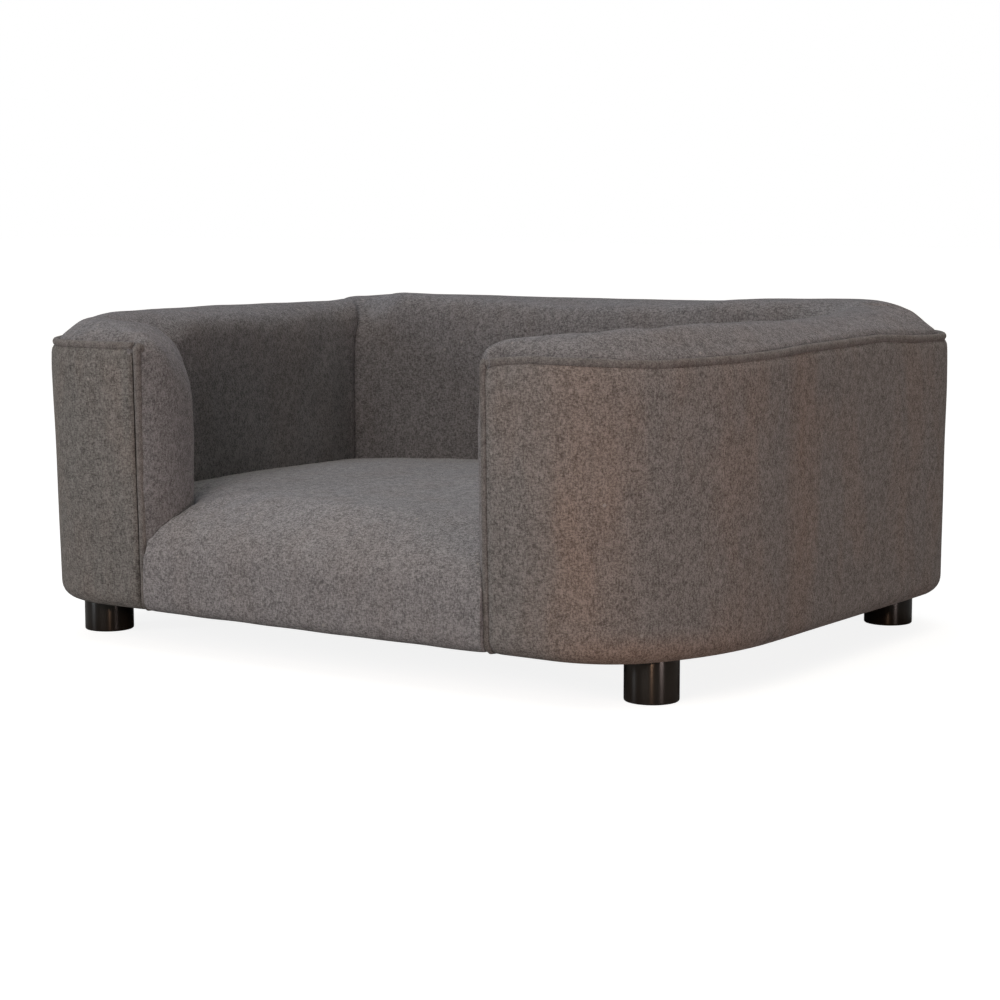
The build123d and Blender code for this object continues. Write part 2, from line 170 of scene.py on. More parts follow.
tree.links.new(sky_mix.outputs[0], sky_out.inputs["Surface"])
print("floor and sky ready")


# %% [markdown]
# A large warm window in front is the main lamp. A low one on the left and a fill near the floor on
# the right reach the outside faces without lighting the hollow, and the fill is reddish, which gives
# the right side its brown cast. A cool one high behind on the left greys the tops.

# %% Lamps


def soft_window(name, place, target, size, power, colour):
    """A square area lamp that looks at a point."""
    light = bpy.data.lights.new(name, "AREA")
    light.size = size
    light.energy = power
    light.color = colour[:3]
    lamp = bpy.data.objects.new(name, light)
    lamp.location = place
    lamp.rotation_euler = (Vector(target) - Vector(place)).to_track_quat("-Z", "Y").to_euler()
    scene.collection.objects.link(lamp)
    return lamp


bed_middle = (0, 0, 0.15)
soft_window("front_window", (0.35, -2.55, 1.45), bed_middle, 1.4, 21.5, paint(255, 242, 233))
soft_window("left_window", (-1.55, -1.95, 0.6), bed_middle, 0.6, 10.5, paint(246, 250, 255))
soft_window("cool_window", (-1.1, 1.0, 1.9), bed_middle, 1.2, 6, paint(160, 198, 255))
soft_window("right_fill", (2.4, -0.9, 0.32), bed_middle, 0.5, 11, paint(255, 230, 224))


# %% [markdown]
# The cloth is a felted heather wool: dark and pale fibres are spun together before weaving,
# so a close look shows salt and pepper, and a far one shows soft patches of grey and brown.
# Stretched noise in two slanting directions gives the short fibres, finer noise the fuzz,
# slow noise the patches, and a few cells of a Voronoi pattern the tiny pale flecks. It is a node
# group, because pads, covers and piping are cut from the same cloth and differ only in a few values.

# %% Heather wool


def mixed(tree, factor, first, second):
    """A colour between two others; each is a socket or a plain colour."""
    made = node(tree, "ShaderNodeMix", data_type="RGBA")
    for socket, value in ((made.inputs[0], factor), (made.inputs[6], first), (made.inputs[7], second)):
        if isinstance(value, bpy.types.NodeSocket):
            tree.links.new(value, socket)
        else:
            socket.default_value = value
    return made.outputs[2]


def blended(tree, kind, first, second):
    """Two values put through one step of sums."""
    made = node(tree, "ShaderNodeMath", operation=kind)
    for socket, value in ((made.inputs[0], first), (made.inputs[1], second)):
        if isinstance(value, bpy.types.NodeSocket):
            tree.links.new(value, socket)
        else:
            socket.default_value = value
    return made.outputs[0]


def stretched_noise(tree, place, turn, stretch, scale, detail):
    """Noise drawn out along a slanting direction, as short fibres are."""
    turned = node(tree, "ShaderNodeMapping", {"Rotation": turn, "Scale": stretch})
    grain = node(tree, "ShaderNodeTexNoise", {"Detail": detail, "Roughness": 0.65})
    tree.links.new(place, turned.inputs["Vector"])
    tree.links.new(turned.outputs["Vector"], grain.inputs["Vector"])
    if isinstance(scale, bpy.types.NodeSocket):
        tree.links.new(scale, grain.inputs["Scale"])
    else:
        grain.inputs["Scale"].default_value = scale
    return grain.outputs["Fac"]


def ramp(tree, value, low, high):
    """Zero below one value, one above another, smooth between."""
    made = node(tree, "ShaderNodeMapRange", {"From Min": low, "From Max": high})
    made.interpolation_type = "SMOOTHSTEP"
    tree.links.new(value, made.inputs["Value"])
    return made.outputs["Result"]


wool = bpy.data.node_groups.new("heather_wool", "ShaderNodeTree")
wool.interface.new_socket("Place", in_out="INPUT", socket_type="NodeSocketVector")
wool.interface.new_socket("Fibres per metre", in_out="INPUT", socket_type="NodeSocketFloat")
for name in ("Dark fibre", "Pale fibre", "Warm fibre"):
    wool.interface.new_socket(name, in_out="INPUT", socket_type="NodeSocketColor")
# The second of these sockets carries painted warm light in bands, and a browner hem.
for name in ("Warmth", "Wear"):
    wool.interface.new_socket(name, in_out="INPUT", socket_type="NodeSocketFloat")
wool.interface.new_socket("Colour", in_out="OUTPUT", socket_type="NodeSocketColor")
wool.interface.new_socket("Height", in_out="OUTPUT", socket_type="NodeSocketFloat")
wool_in = node(wool, "NodeGroupInput")
wool_out = node(wool, "NodeGroupOutput")
place = wool_in.outputs["Place"]
fibre_scale = wool_in.outputs["Fibres per metre"]
fuzz_scale = blended(wool, "MULTIPLY", fibre_scale, 2.6)
rising = stretched_noise(wool, place, (0.5, 0.8, 0.7), (1, 1, 0.4), fibre_scale, 2)
falling = stretched_noise(wool, place, (-0.6, 0.4, -0.8), (0.4, 1, 1), fibre_scale, 2)
fuzz = stretched_noise(wool, place, (0, 0, 0), (1, 1, 1), fuzz_scale, 1)
fibres = blended(wool, "ADD", rising, falling)
fibres = blended(wool, "ADD", fibres, fuzz)
mottle = stretched_noise(wool, place, (0.3, 0.5, 0.2), (1, 1, 1), 140, 2)
fibres = blended(wool, "ADD", fibres, blended(wool, "MULTIPLY", mottle, 0.5))
pepper = ramp(wool, fibres, 1.38, 2.12)
cloth = mixed(wool, pepper, wool_in.outputs["Dark fibre"], wool_in.outputs["Pale fibre"])
patches = stretched_noise(wool, place, (0, 0, 0.1), (1, 1, 0.35), 22, 2)
patch_share = ramp(wool, patches, 0.42, 0.68)
patch_share = blended(wool, "MULTIPLY", patch_share, wool_in.outputs["Warmth"])
# Painted warm light in bands, and the browner hem, are added to the patches here.
patch_share = blended(wool, "ADD", patch_share, wool_in.outputs["Wear"])
warm_cloth = mixed(wool, pepper, paint(100, 85, 78), wool_in.outputs["Warm fibre"])
cloth = mixed(wool, patch_share, cloth, warm_cloth)
flecks = node(wool, "ShaderNodeTexVoronoi", {"Scale": 95})
wool.links.new(place, flecks.inputs["Vector"])
fleck_luck = node(wool, "ShaderNodeSeparateColor")
wool.links.new(flecks.outputs["Color"], fleck_luck.inputs[0])
fleck_share = blended(wool, "LESS_THAN", flecks.outputs["Distance"], 0.12)
fleck_picked = blended(wool, "GREATER_THAN", fleck_luck.outputs[0], 0.9)
fleck_share = blended(wool, "MULTIPLY", fleck_share, fleck_picked)
cloth = mixed(wool, blended(wool, "MULTIPLY", fleck_share, 0.7), cloth, paint(168, 162, 158))
wool.links.new(cloth, wool_out.inputs["Colour"])
wool.links.new(fibres, wool_out.inputs["Height"])
print("wool group has", len(wool.nodes), "nodes")


# %% [markdown]
# The same bolt of cloth does not look the same all over the bed. The seat is paler, partly its cloth and
# partly painted light on its top; the outer covers are browner, partly their cloth and partly painted warm
# light; and the narrow strip round the piping looks finer. Each gets its own fibre colours.
# Short fuzz on wool catches light that grazes it, which the sheen stands for. The sheen takes the
# colour of the cloth, so that it doesn't turn milky.

# %% Wool materials


def wool_finish(name, fibres_per_metre, dark, pale, warm, warmth, fuzz_sheen):
    """A wool material with the group's colour and its fibres as relief."""
    matt = {"Roughness": 0.95, "Specular IOR Level": 0.2}
    fuzzy = {"Sheen Weight": fuzz_sheen, "Sheen Roughness": 0.6}
    material, tree, shader = principled(name, {**matt, **fuzzy})
    where = node(tree, "ShaderNodeTexCoord")
    group = node(tree, "ShaderNodeGroup", node_tree=wool)
    fill_sockets(group, {"Fibres per metre": fibres_per_metre, "Warmth": warmth})
    fill_sockets(group, {"Dark fibre": dark, "Pale fibre": pale, "Warm fibre": warm})
    bump = node(tree, "ShaderNodeBump", {"Strength": 0.5, "Distance": 0.0006})
    tree.links.new(where.outputs["Object"], group.inputs["Place"])
    tree.links.new(group.outputs["Colour"], shader.inputs["Base Color"])
    tree.links.new(group.outputs["Colour"], shader.inputs["Sheen Tint"])
    tree.links.new(group.outputs["Height"], bump.inputs["Height"])
    tree.links.new(bump.outputs["Normal"], shader.inputs["Normal"])
    return material


charcoal_wool = wool_finish(
    "charcoal_wool", 800, paint(86, 84, 86), paint(151, 148, 150), paint(138, 124, 116), 0.12, 1.0
)
# The seat's paler fibres are partly its cloth and partly painted light on its top.
seat_wool = wool_finish(
    "seat_wool", 800, paint(98, 96, 98), paint(166, 163, 165), paint(150, 135, 126), 0.12, 0.6
)
# This brown fibre colours the random warm patches, and on the right cover also the painted warm light.
brown_fibre_and_warm_light = paint(170, 150, 139)
# The outer cloth is browner than the pads, partly its own colour and partly painted warm light.
outer_wool = wool_finish(
    "outer_wool", 800, paint(84, 81, 80), paint(147, 144, 141), brown_fibre_and_warm_light, 0.2, 0.5
)
# The right cover's cloth is paler and browner still, partly its own colour and partly painted warm light on
# the right side.
right_wool_and_warm_light = wool_finish(
    "right_wool_and_warm_light", 800, paint(89, 85, 84), paint(156, 151, 149), brown_fibre_and_warm_light, 0.3, 0.5
)
piping_wool = wool_finish(
    "piping_wool", 900, paint(89, 85, 84), paint(142, 137, 135), paint(132, 118, 110), 0.25, 0.8
)


# %% [markdown]
# Upright brown bands on the outer cloth on the right are painted warm light, and its bottom edge near
# the front leg is made browner. The cover is a grid, so its own map runs from 0 to 1 along the wall and
# up it, and each band is a soft bump on that map.

# %% Painted warm bands and a browner hem


def soft_bump(tree, value, middle, half, strength):
    """A smooth bump of a value round a middle, zero beyond its half width."""
    away = blended(tree, "ABSOLUTE", blended(tree, "SUBTRACT", value, middle), 0)
    bump = blended(tree, "SUBTRACT", 1, ramp(tree, away, 0, half))
    return blended(tree, "MULTIPLY", bump, strength)


def painted(material, bands, hem):
    """Adds painted warm light as brown bands, and a browner hem, each with its place along the cover, half
    width and strength.
    """
    tree = material.node_tree
    where = node(tree, "ShaderNodeUVMap")
    parts = node(tree, "ShaderNodeSeparateXYZ")
    tree.links.new(where.outputs["UV"], parts.inputs[0])
    near_hem = blended(tree, "SUBTRACT", 1, ramp(tree, parts.outputs["Y"], 0.1, 0.2))
    painted_light_and_hem = blended(tree, "MULTIPLY", near_hem, soft_bump(tree, parts.outputs["X"], *hem))
    for band in bands:
        painted_light_and_hem = blended(tree, "ADD", painted_light_and_hem, soft_bump(tree, parts.outputs["X"], *band))
    group = next(item for item in tree.nodes if item.type == "GROUP")
    tree.links.new(painted_light_and_hem, group.inputs["Wear"])
    print(material.name, "has", len(bands), "faded bands and a worn hem")


# Painted warm light: upright brown bands on the right cover, and a browner hem near the front leg.
painted(right_wool_and_warm_light, ((0.11, 0.085, 0.5), (0.425, 0.05, 0.42), (0.31, 0.07, 0.12)), (0.2, 0.16, 0.9))
print("wool materials:", charcoal_wool.name, piping_wool.name)


# %% [markdown]
# Everything on the wall follows one outline: straight front, a tight curve that eases into the side,
# a straight side, a round rear corner and a straight back. A walk along it gives a point and the way
# outwards at any distance from the right front edge, and the left side is its mirror image.

# %% Walk round the outline
half_width = 350
front_y = -280
back_y = 280
front_start = 183.6
tight_radius = 95
tight_sweep = 60
ease_radius = 240
rear_radius = 105
tight_turn = math.radians(tight_sweep)
ease_middle = (
    half_width - ease_radius,
    front_y + tight_radius * (1 - math.cos(tight_turn)) + ease_radius * math.cos(tight_turn),
)
tight_middle = (
    ease_middle[0] + (ease_radius - tight_radius) * math.sin(tight_turn),
    front_y + tight_radius,
)
rear_middle = (half_width - rear_radius, back_y - rear_radius)
outline_parts = (
    ("line", (front_start, front_y), (1, 0), tight_middle[0] - front_start),
    ("arc", tight_middle, tight_radius, -90, tight_sweep),
    ("arc", ease_middle, ease_radius, tight_sweep - 90, 90 - tight_sweep),
    ("line", (half_width, ease_middle[1]), (0, 1), rear_middle[1] - ease_middle[1]),
    ("arc", rear_middle, rear_radius, 0, 90),
    ("line", (rear_middle[0], back_y), (-1, 0), 2 * rear_middle[0]),
)


def part_length(part):
    """The length of one straight or curved part of the outline."""
    if part[0] == "line":
        return part[3]
    return part[2] * math.radians(part[4])


def walk(distance):
    """A point of the outline that far from the right front edge, and the way outwards."""
    for part in outline_parts:
        if distance <= part_length(part) or part is outline_parts[-1]:
            break
        distance -= part_length(part)
    if part[0] == "line":
        start, heading = part[1:3]
        point = (start[0] + heading[0] * distance, start[1] + heading[1] * distance)
        return point, (heading[1], -heading[0])
    middle, radius, begin = part[1:4]
    angle = math.radians(begin) + distance / radius
    outward = (math.cos(angle), math.sin(angle))
    return (middle[0] + radius * outward[0], middle[1] + radius * outward[1]), outward


side_length = sum(part_length(part) for part in outline_parts[:-1])
back_length = part_length(outline_parts[-1])
print("each side is", round(side_length), "mm round, and the back", round(back_length))


# %% [markdown]
# Hand-sewn cloth is never quite level, so the soft pieces below are meshes whose points are moved:
# raised along a crest, pressed in at a seam or pushed out at a corner. These small tools read all the
# points of a mesh in millimetres, put them back, and tell how far inside the outline each one lies.

# %% Tools for points


def choose(piece):
    """Makes one object the only selected one."""
    bpy.ops.object.select_all(action="DESELECT")
    piece.select_set(True)
    bpy.context.view_layer.objects.active = piece


def points_of(piece):
    """The places of a mesh's points, in millimetres."""
    places = np.zeros(len(piece.data.vertices) * 3, np.float32)
    piece.data.vertices.foreach_get("co", places)
    return places.reshape(-1, 3).astype(float) / MM


def set_points(piece, places):
    """Moves a mesh's points to places in millimetres."""
    piece.data.vertices.foreach_set("co", (places * MM).astype(np.float32).ravel())
    piece.data.update()


def normals_of(piece):
    """The outward directions at a mesh's points."""
    found = np.zeros(len(piece.data.vertices) * 3, np.float32)
    piece.data.vertices.foreach_get("normal", found)
    return found.reshape(-1, 3).astype(float)


def welded():
    """Merges the points of the active mesh that lie on top of each other."""
    bpy.ops.object.mode_set(mode="EDIT")
    bpy.ops.mesh.select_all(action="SELECT")
    bpy.ops.mesh.remove_doubles(threshold=0.02 * MM)
    bpy.ops.object.mode_set(mode="OBJECT")


def eased(values, low, high):
    """Zero below one value, one above another, and a smooth step between."""
    share = np.clip((values - low) / (high - low), 0, 1)
    return share * share * (3 - 2 * share)


rim_steps = 400
rim_length = side_length + back_length / 2
rim = [walk(rim_length * step / rim_steps) for step in range(rim_steps + 1)]
rim_points = np.array([point for point, outward in rim])
rim_ways = np.array([outward for point, outward in rim])


def rim_of(places):
    """How far points lie inside the outline, and how far along it they are."""
    right_half = np.abs(places[:, 0])
    insets = np.zeros(len(places))
    distances = np.zeros(len(places))
    for index, (x, y) in enumerate(zip(right_half, places[:, 1])):
        away = rim_points - (x, y)
        nearest = np.argmin((away**2).sum(axis=1))
        insets[index] = (away[nearest] * rim_ways[nearest]).sum()
        distances[index] = nearest * rim_length / rim_steps
    return insets, distances


def along(table, stations):
    """Values from a short table of stations."""
    return np.interp(stations, [row[0] for row in table], [row[1] for row in table])


print("the middle of the bed is", round(rim_of(np.zeros((1, 3)))[0][0]), "mm inside the outline")


# %% [markdown]
# The pads are foam glued to a wooden wall and pulled into a sewn cover. Each starts as a copy of
# its CAD cover and foam, melted into one skin of small squares. The skin is drawn in a little,
# smoothed so that its edges turn over softly, and blown up by a short cloth simulation,
# which gives the tight, slightly swollen faces of a stuffed pad. Points that rest on the frame are held.

# %% Melt, relax and swell
pad_square = 5
swell_frames = 20
swell_pressure = 4
lump_depth = 0.8
lumps_per_mm = 0.022


def melted_copy(name, nodes):
    """The CAD nodes copied, joined and remeshed into one closed skin of even squares."""
    bpy.ops.object.select_all(action="DESELECT")
    copies = []
    for node_name in nodes:
        copy = bpy.data.objects.new(name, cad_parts[node_name].data.copy())
        copy.data.materials.clear()
        scene.collection.objects.link(copy)
        copy.select_set(True)
        copies.append(copy)
    bpy.context.view_layer.objects.active = copies[0]
    bpy.ops.object.join()
    pad = copies[0]
    pad.name = name
    pad.data.name = name
    welded()
    pad.data.remesh_voxel_size = pad_square * MM
    bpy.ops.object.voxel_remesh()
    return pad


def share_free(pad, node_name, reach):
    """One for points on the CAD cover, zero for points that rest on the frame."""
    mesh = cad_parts[node_name].data
    corners = [vertex.co for vertex in mesh.vertices]
    skin = BVHTree.FromPolygons(corners, [tuple(face.vertices) for face in mesh.polygons])
    distances = [skin.find_nearest(vertex.co)[3] for vertex in pad.data.vertices]
    return np.where(np.array(distances) < reach * MM, 1.0, 0.0)


def weight_group(pad, name, shares):
    """A vertex group with one weight for each point."""
    group = pad.vertex_groups.new(name=name)
    for index, share in enumerate(shares):
        group.add([index], float(share), "REPLACE")


def relaxed(pad, group, rounds):
    """Smooths the points of a group, so that edges turn over softly."""
    choose(pad)
    modifier = pad.modifiers.new("relax", "SMOOTH")
    modifier.factor = 0.5
    modifier.iterations = rounds
    modifier.vertex_group = group
    bpy.ops.object.modifier_apply(modifier="relax")


def swollen(pad, most):
    """Blows the pad up for a moment as cloth, and keeps each point within a distance of its start."""
    start = points_of(pad)
    choose(pad)
    cloth = pad.modifiers.new("swell", "CLOTH")
    cloth.settings.quality = 5
    cloth.settings.mass = 0.3
    cloth.settings.use_pressure = True
    cloth.settings.uniform_pressure_force = swell_pressure
    cloth.settings.vertex_group_mass = "held"
    cloth.settings.effector_weights.gravity = 0
    for number in range(1, swell_frames + 1):
        scene.frame_set(number)
    bpy.ops.object.modifier_apply(modifier="swell")
    scene.frame_set(1)
    moved = points_of(pad) - start
    far = np.linalg.norm(moved, axis=1)
    kept = np.minimum(1, most / np.maximum(far, 1e-9))
    set_points(pad, start + moved * kept[:, None])
    print(pad.name, "swelled by up to", round(far.max(), 1), "mm, kept to", most)


def stuffed(name, cover, foam, edges, draw_in, rounds, most):
    """A stuffed pad shaped from a CAD cover and its foam; edges says how soft each point may be."""
    pad = melted_copy(name, (cover, foam))
    free = share_free(pad, cover, 0.8 * pad_square)
    soft = free * edges(points_of(pad))
    weight_group(pad, "free", free)
    weight_group(pad, "soft", soft)
    weight_group(pad, "held", 1 - soft)
    relaxed(pad, "free", 4)
    set_points(pad, points_of(pad) - normals_of(pad) * (soft * draw_in)[:, None])
    relaxed(pad, "soft", rounds)
    swollen(pad, most)
    relaxed(pad, "free", 6)
    return pad


def lumpy(places, normals):
    """Slow bumps, as stuffing has under tight cloth."""
    moved = places.copy()
    for index, place in enumerate(places):
        moved[index] += normals[index] * lump_depth * noise.noise(Vector(place) * lumps_per_mm)
    return moved


def finished_pad(pad, nodes, cloth):
    """Subdivides a shaped pad once, gives it its cloth, hides the CAD nodes that it replaces and hangs it
    under the root body.
    """
    set_points(pad, lumpy(points_of(pad), normals_of(pad)))
    choose(pad)
    finer = pad.modifiers.new("finer", "SUBSURF")
    finer.levels = 1
    finer.render_levels = 1
    bpy.ops.object.modifier_apply(modifier="finer")
    pad.vertex_groups.clear()
    bpy.ops.object.shade_smooth()
    pad.data.materials.append(cloth)
    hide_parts(*nodes)
    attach(pad, "root")
    print(pad.name, "has", len(pad.data.polygons), "faces")


# %% [markdown]
# The arms and the back meet in mitred seams at the rear corners, and their outer edges are caught
# under the piping. There the pads keep their CAD edges, and elsewhere they may turn soft.
# The real tops are not level: the left arm falls off towards the rear, the right one is full at its
# nose and again at the rear corner, and the back rises towards its right end. A few heights along each
# crest give that hand-made line.

# %% Arms and back
arm_face = 259
back_face = 126
# How much a pad drops or fills out, by how far inside the outline a point lies
rim_drops = [(0, 5), (6, 5), (10, 4.3), (17, 3), (28, 1), (36, 0)]
back_fill = [(60, 0), (75, -1), (90, -1.5), (98, -0.5), (104, 1), (110, 2.8), (116, 5.4), (122, 9)]
back_fill += [(128, 13), (134, 18.2), (140, 24), (146, 28.7), (149, 30), (155, 28.5), (170, 28.5)]
arm_fill = [(42, 0), (48, 0.2), (54, 1.2), (60, 2.6), (66, 4.7), (72, 7.4), (78, 10.8), (84, 14.6)]
arm_fill += [(90, 17)]
# How much the top seam rises, by the distance walked from the front edge
right_seam = [(0, -2.5), (17, -0.5), (42, 1.4), (78, 0.9), (142, -1.3), (220, 0.3), (268, 1.5)]
right_seam += [(328, 3.4), (392, 4), (459, 5.2), (521, 1.2), (587, -0.4), (730, 0)]
left_seam = [(0, -2.2), (50, -2.6), (100, -3.2), (150, -3.2), (230, -2.5), (330, -1.5), (459, 0), (730, 0)]
level = [(0, 0), (1300, 0)]
# How much each crest rises, from the front to the rear on an arm and from left to right on the back
left_crest = [(-280, 2), (-240, 4.5), (-200, 6), (-160, 3.5), (-80, 2.7), (7, 1.8), (53, 0), (100, 0)]
left_crest += [(150, -1), (173, -2), (200, -2.5)]
right_crest = [(-280, 4), (-250, 8), (-240, 10.5), (-220, 12), (-190, 11.8), (-160, 10.4), (-123, 8.8)]
right_crest += [(-90, 7), (-22, 5), (14, 3.6), (46, 4), (85, 5), (126, 7), (150, 7.5), (173, 7), (200, 5.5)]
back_crest = [(-350, -4), (-300, -3), (-275, 0), (-250, 1), (-224, 0.5), (-185, 0), (0, -1.5), (110, -0.5)]
back_crest += [(165, 4), (235, 6), (259, 7), (283, 7.5), (306, 7), (333, 5.5), (350, 5)]


def past_mitre(places):
    """How far points lie past the mitred seam: above zero on the arms, below it on the back."""
    return ((np.abs(places[:, 0]) - arm_face) - (places[:, 1] - back_face)) / math.sqrt(2)


def wall_edges(places):
    """How soft the wall may be: less at the mitred seams and beside the piping."""
    mitre = eased(np.abs(past_mitre(places)), 2, 16)
    beside_piping = np.where(places[:, 2] > 245, eased(rim_of(places)[0], 9, 20), 1)
    return mitre * beside_piping


def closed_mitres(pad, own_side):
    """Presses the mitred edges across the seam, so that two pads meet in a fine crease."""
    places = points_of(pad)
    inside = own_side * past_mitre(places)
    near = (1 - eased(inside, 0, 13)) * eased(places[:, 1], 100, 118)
    push = near * (1 + 4 * eased(places[:, 2], 240, 278)) / math.sqrt(2)
    places[:, 0] -= own_side * np.sign(places[:, 0]) * push
    places[:, 1] += own_side * push
    set_points(pad, places)


def crest_moved(pad, axis, heights, seam, slope):
    """Gives the top of a pad its crest heights, and its rim the height of the seam below it."""
    places = points_of(pad)
    insets, distances = rim_of(places)
    upper = eased(places[:, 2], 205, 278)
    crest_share = eased(insets, 8, 34)
    reaches = (-24, -12, 0, 12, 24)
    crest = np.mean([along(heights, places[:, axis] + reach) for reach in reaches], axis=0)
    lifts = crest * crest_share * upper
    rim_drop = slope * along(rim_drops, insets) * eased(places[:, 2], 235, 262)
    rim_drop *= 1 - eased(distances, 380, 480)
    sewn = along(seam, distances) * (1 - crest_share) * eased(places[:, 2], 225, 255)
    open_corner = 1 - 0.5 * eased(places[:, 0], 150, 250) * eased(places[:, 1], 20, 110)
    if axis == 0:
        lifts += along(back_fill, insets) * eased(places[:, 2], 180, 250) * open_corner
    else:
        behind_nose = eased(places[:, 1], -170, -110)
        lifts += along(arm_fill, insets) * eased(places[:, 2], 190, 250) * behind_nose * open_corner
    places[:, 2] += lifts + sewn - rim_drop
    near_rim = (1 - eased(insets, 8, 13)) * eased(places[:, 2], 240, 255)
    places[:, :2] *= (1 + 2.2 * near_rim / np.linalg.norm(places[:, :2], axis=1))[:, None]
    set_points(pad, places)
    relaxed(pad, "soft", 4)


# %% [markdown]
# The front end of each arm is a nose, shaped like a thumb: square and full behind the piping,
# and rounded away towards the sleeping hollow. The CAD nose is a plain arc, so its points are moved
# away from the hollow by a distance that grows towards the rear, and its front top is filled out.

# %% Noses
nose_back = [(-280, 9), (-274, 6), (-268, 2.5), (-262, 0.5), (-256, 0), (-244, 2.4), (-238, 3.8)]
nose_back += [(-231, 5.5), (-222, 8.3), (-211, 13.6), (-199, 19.3), (-190, 25), (-184, 32), (-150, 0)]
nose_fill = [(156, 11), (162, 15), (168, 18), (176, 19), (185, 15), (195, 11), (205, 8), (220, 5)]
nose_fill += [(245, 2), (285, 0)]
rounder_top = 0.5
face_push = 2.5


def nose_shaped(pad, fullness):
    """Rounds the rear of a nose, fills its front top and pushes its face out beside the piping."""
    places = points_of(pad)
    across = np.abs(places[:, 0])
    side = np.sign(places[:, 0])
    deep = places[:, 1]
    behind_face = 1 - eased(across, 170, 182) * (1 - eased(deep, -277, -263))
    front = (1 - eased(deep, -270, -234)) * behind_face
    moved = along(nose_back, deep) * (1 - eased(across, 185, 238))
    moved *= 1 + rounder_top * eased(places[:, 2], 210, 250)
    places[:, 2] += fullness * along(nose_fill, across) * front * eased(places[:, 2], 150, 235)
    places[:, 1] -= face_push * (1 - eased(deep, -270, -255)) * (1 - eased(across, 178, 190))
    places[:, 0] += side * moved
    set_points(pad, places)
    relaxed(pad, "soft", 4)


# %% [markdown]
# The three pads of the wall are made alike: stuffed, given their crest, and closed at the mitres.
# Only the arms end in noses. The two arms differ a little, as two hands of work do, so each row of the
# loop has its own crest, seam, slope of the rim and fullness of the nose.

# %% Stuff the arms and the back
wall_draw_in = 3
wall_rounds = 12
wall_swell = 5
for name, axis, heights, seam, own_side, slope, fullness in (
    ("left_arm", 1, left_crest, left_seam, 1, 0.5, 0.85),
    ("right_arm", 1, right_crest, right_seam, 1, 0.3, 1.2),
    ("back", 0, back_crest, level, -1, 0.5, 0),
):
    nodes = (name + "_cover", name + "_foam")
    pad = stuffed(name + "_pad", *nodes, wall_edges, wall_draw_in, wall_rounds, wall_swell)
    crest_moved(pad, axis, heights, seam, slope)
    closed_mitres(pad, own_side)
    if own_side == 1:
        nose_shaped(pad, fullness)
    finished_pad(pad, nodes, charcoal_wool)


# %% [markdown]
# The seat is one tight dome of foam that rolls over the front rail between the noses.
# Its bottom edge is stapled under the rail, so that edge stays firm, and only its two corners are
# pushed out to close the gap beside the piping. Its sides follow the noses and press against them.

# %% Seat
seat_draw_in = 1.5
seat_rounds = 7
seat_swell = 4
side_press = 6.5
more_press = 4
corner_push = 10
hem_drop = 2.5
left_limit = 175.2
right_limit = 177.5


def seat_edges(places):
    """How soft the seat may be: not at its stapled bottom edge, nor beside the nose piping."""
    bottom = eased(places[:, 2], 52, 85)
    beside_nose = 1 - eased(np.abs(places[:, 0]), 150, 172) * (1 - eased(places[:, 1], -262, -235))
    return bottom * beside_nose


seat = stuffed(
    "seat_pad", "seat_cover", "seat_foam", seat_edges, seat_draw_in, seat_rounds, seat_swell
)
places = points_of(seat)
across = np.abs(places[:, 0])
deep = places[:, 1]
follow = along(nose_back, np.maximum(deep, -256)) * eased(across, 70, 150)
follow *= 1 - eased(across, 185, 238)
press = side_press + more_press * eased(deep, -228, -200)
press = press * eased(across, 135, 170) * (1 - eased(deep, -180, -150))
low_corner = (1 - eased(places[:, 2], 54, 68)) * eased(across, 140, 164)
low_corner = low_corner * (1 - eased(deep, -262, -245))
pressed = across + follow + press + corner_push * low_corner
beside_piping = 1 - eased(deep, -266, -250)
edge_limit = np.where(places[:, 0] < 0, left_limit, right_limit)
pressed -= np.maximum(pressed - edge_limit, 0) * beside_piping
places[:, 0] = np.sign(places[:, 0]) * pressed
places[:, 2] -= hem_drop * (1 - eased(places[:, 2], 40, 60)) * (1 - eased(deep, -262, -240))
set_points(seat, places)
finished_pad(seat, ("seat_cover", "seat_foam"), seat_wool)


# %% [markdown]
# The outer covers are flat pieces of cloth pulled round the wall over thin wadding. Seen from its end,
# a cover runs from the seam under the piping down the face, round the bottom edge and onto the
# underside, where it is stapled. The face leans in slightly towards the bottom, and the seam was not
# sewn at one height, so both vary along the walk round the outline.

# %% Seam heights and the section of the cover
cover_top = 263
underside = 37
roll_radius = 12
face_drop = 20
face_steps = 18
roll_steps = 6
right_lean = [(0, 4.5), (150, 4), (330, 2), (520, 1), (730, 2)]
left_lean = [(0, 4.5), (150, 5), (520, 4), (730, 2)]
even_lean = [(0, 2), (1300, 2)]


def section(lean, lift):
    """The cover's section as insets and heights, from under the piping to the staple line."""
    top = cover_top + lift
    roll_start = underside + roll_radius
    line = [(6.5, top + 2.5), (4, top + 0.2), (1.3, top - 1.3), (0.4, top - 4.5), (0.1, top - 12)]
    face_top = top - face_drop
    for step in range(face_steps + 1):
        share = step / face_steps
        line.append((lean * share, face_top - (face_top - roll_start) * share))
    for step in range(1, roll_steps + 1):
        angle = math.radians(90 / roll_steps * step)
        drop = roll_radius * math.sin(angle)
        line.append((lean + roll_radius * (1 - math.cos(angle)), roll_start - drop))
    line += [(24, underside + 0.2), (30, underside + 0.4)]
    return np.array(line, float)


def spread_evenly(line, count):
    """The same line with evenly spaced points, and its length."""
    steps = np.linalg.norm(np.diff(line, axis=0), axis=1)
    reached = np.concatenate([[0], np.cumsum(steps)])
    at = np.linspace(0, reached[-1], count)
    return np.stack([np.interp(at, reached, line[:, axis]) for axis in range(2)], axis=1), reached[-1]


row_count = 90
section_length = spread_evenly(section(2, 0), row_count)[1]
print("the cover is", round(section_length), "mm from seam to staple line")


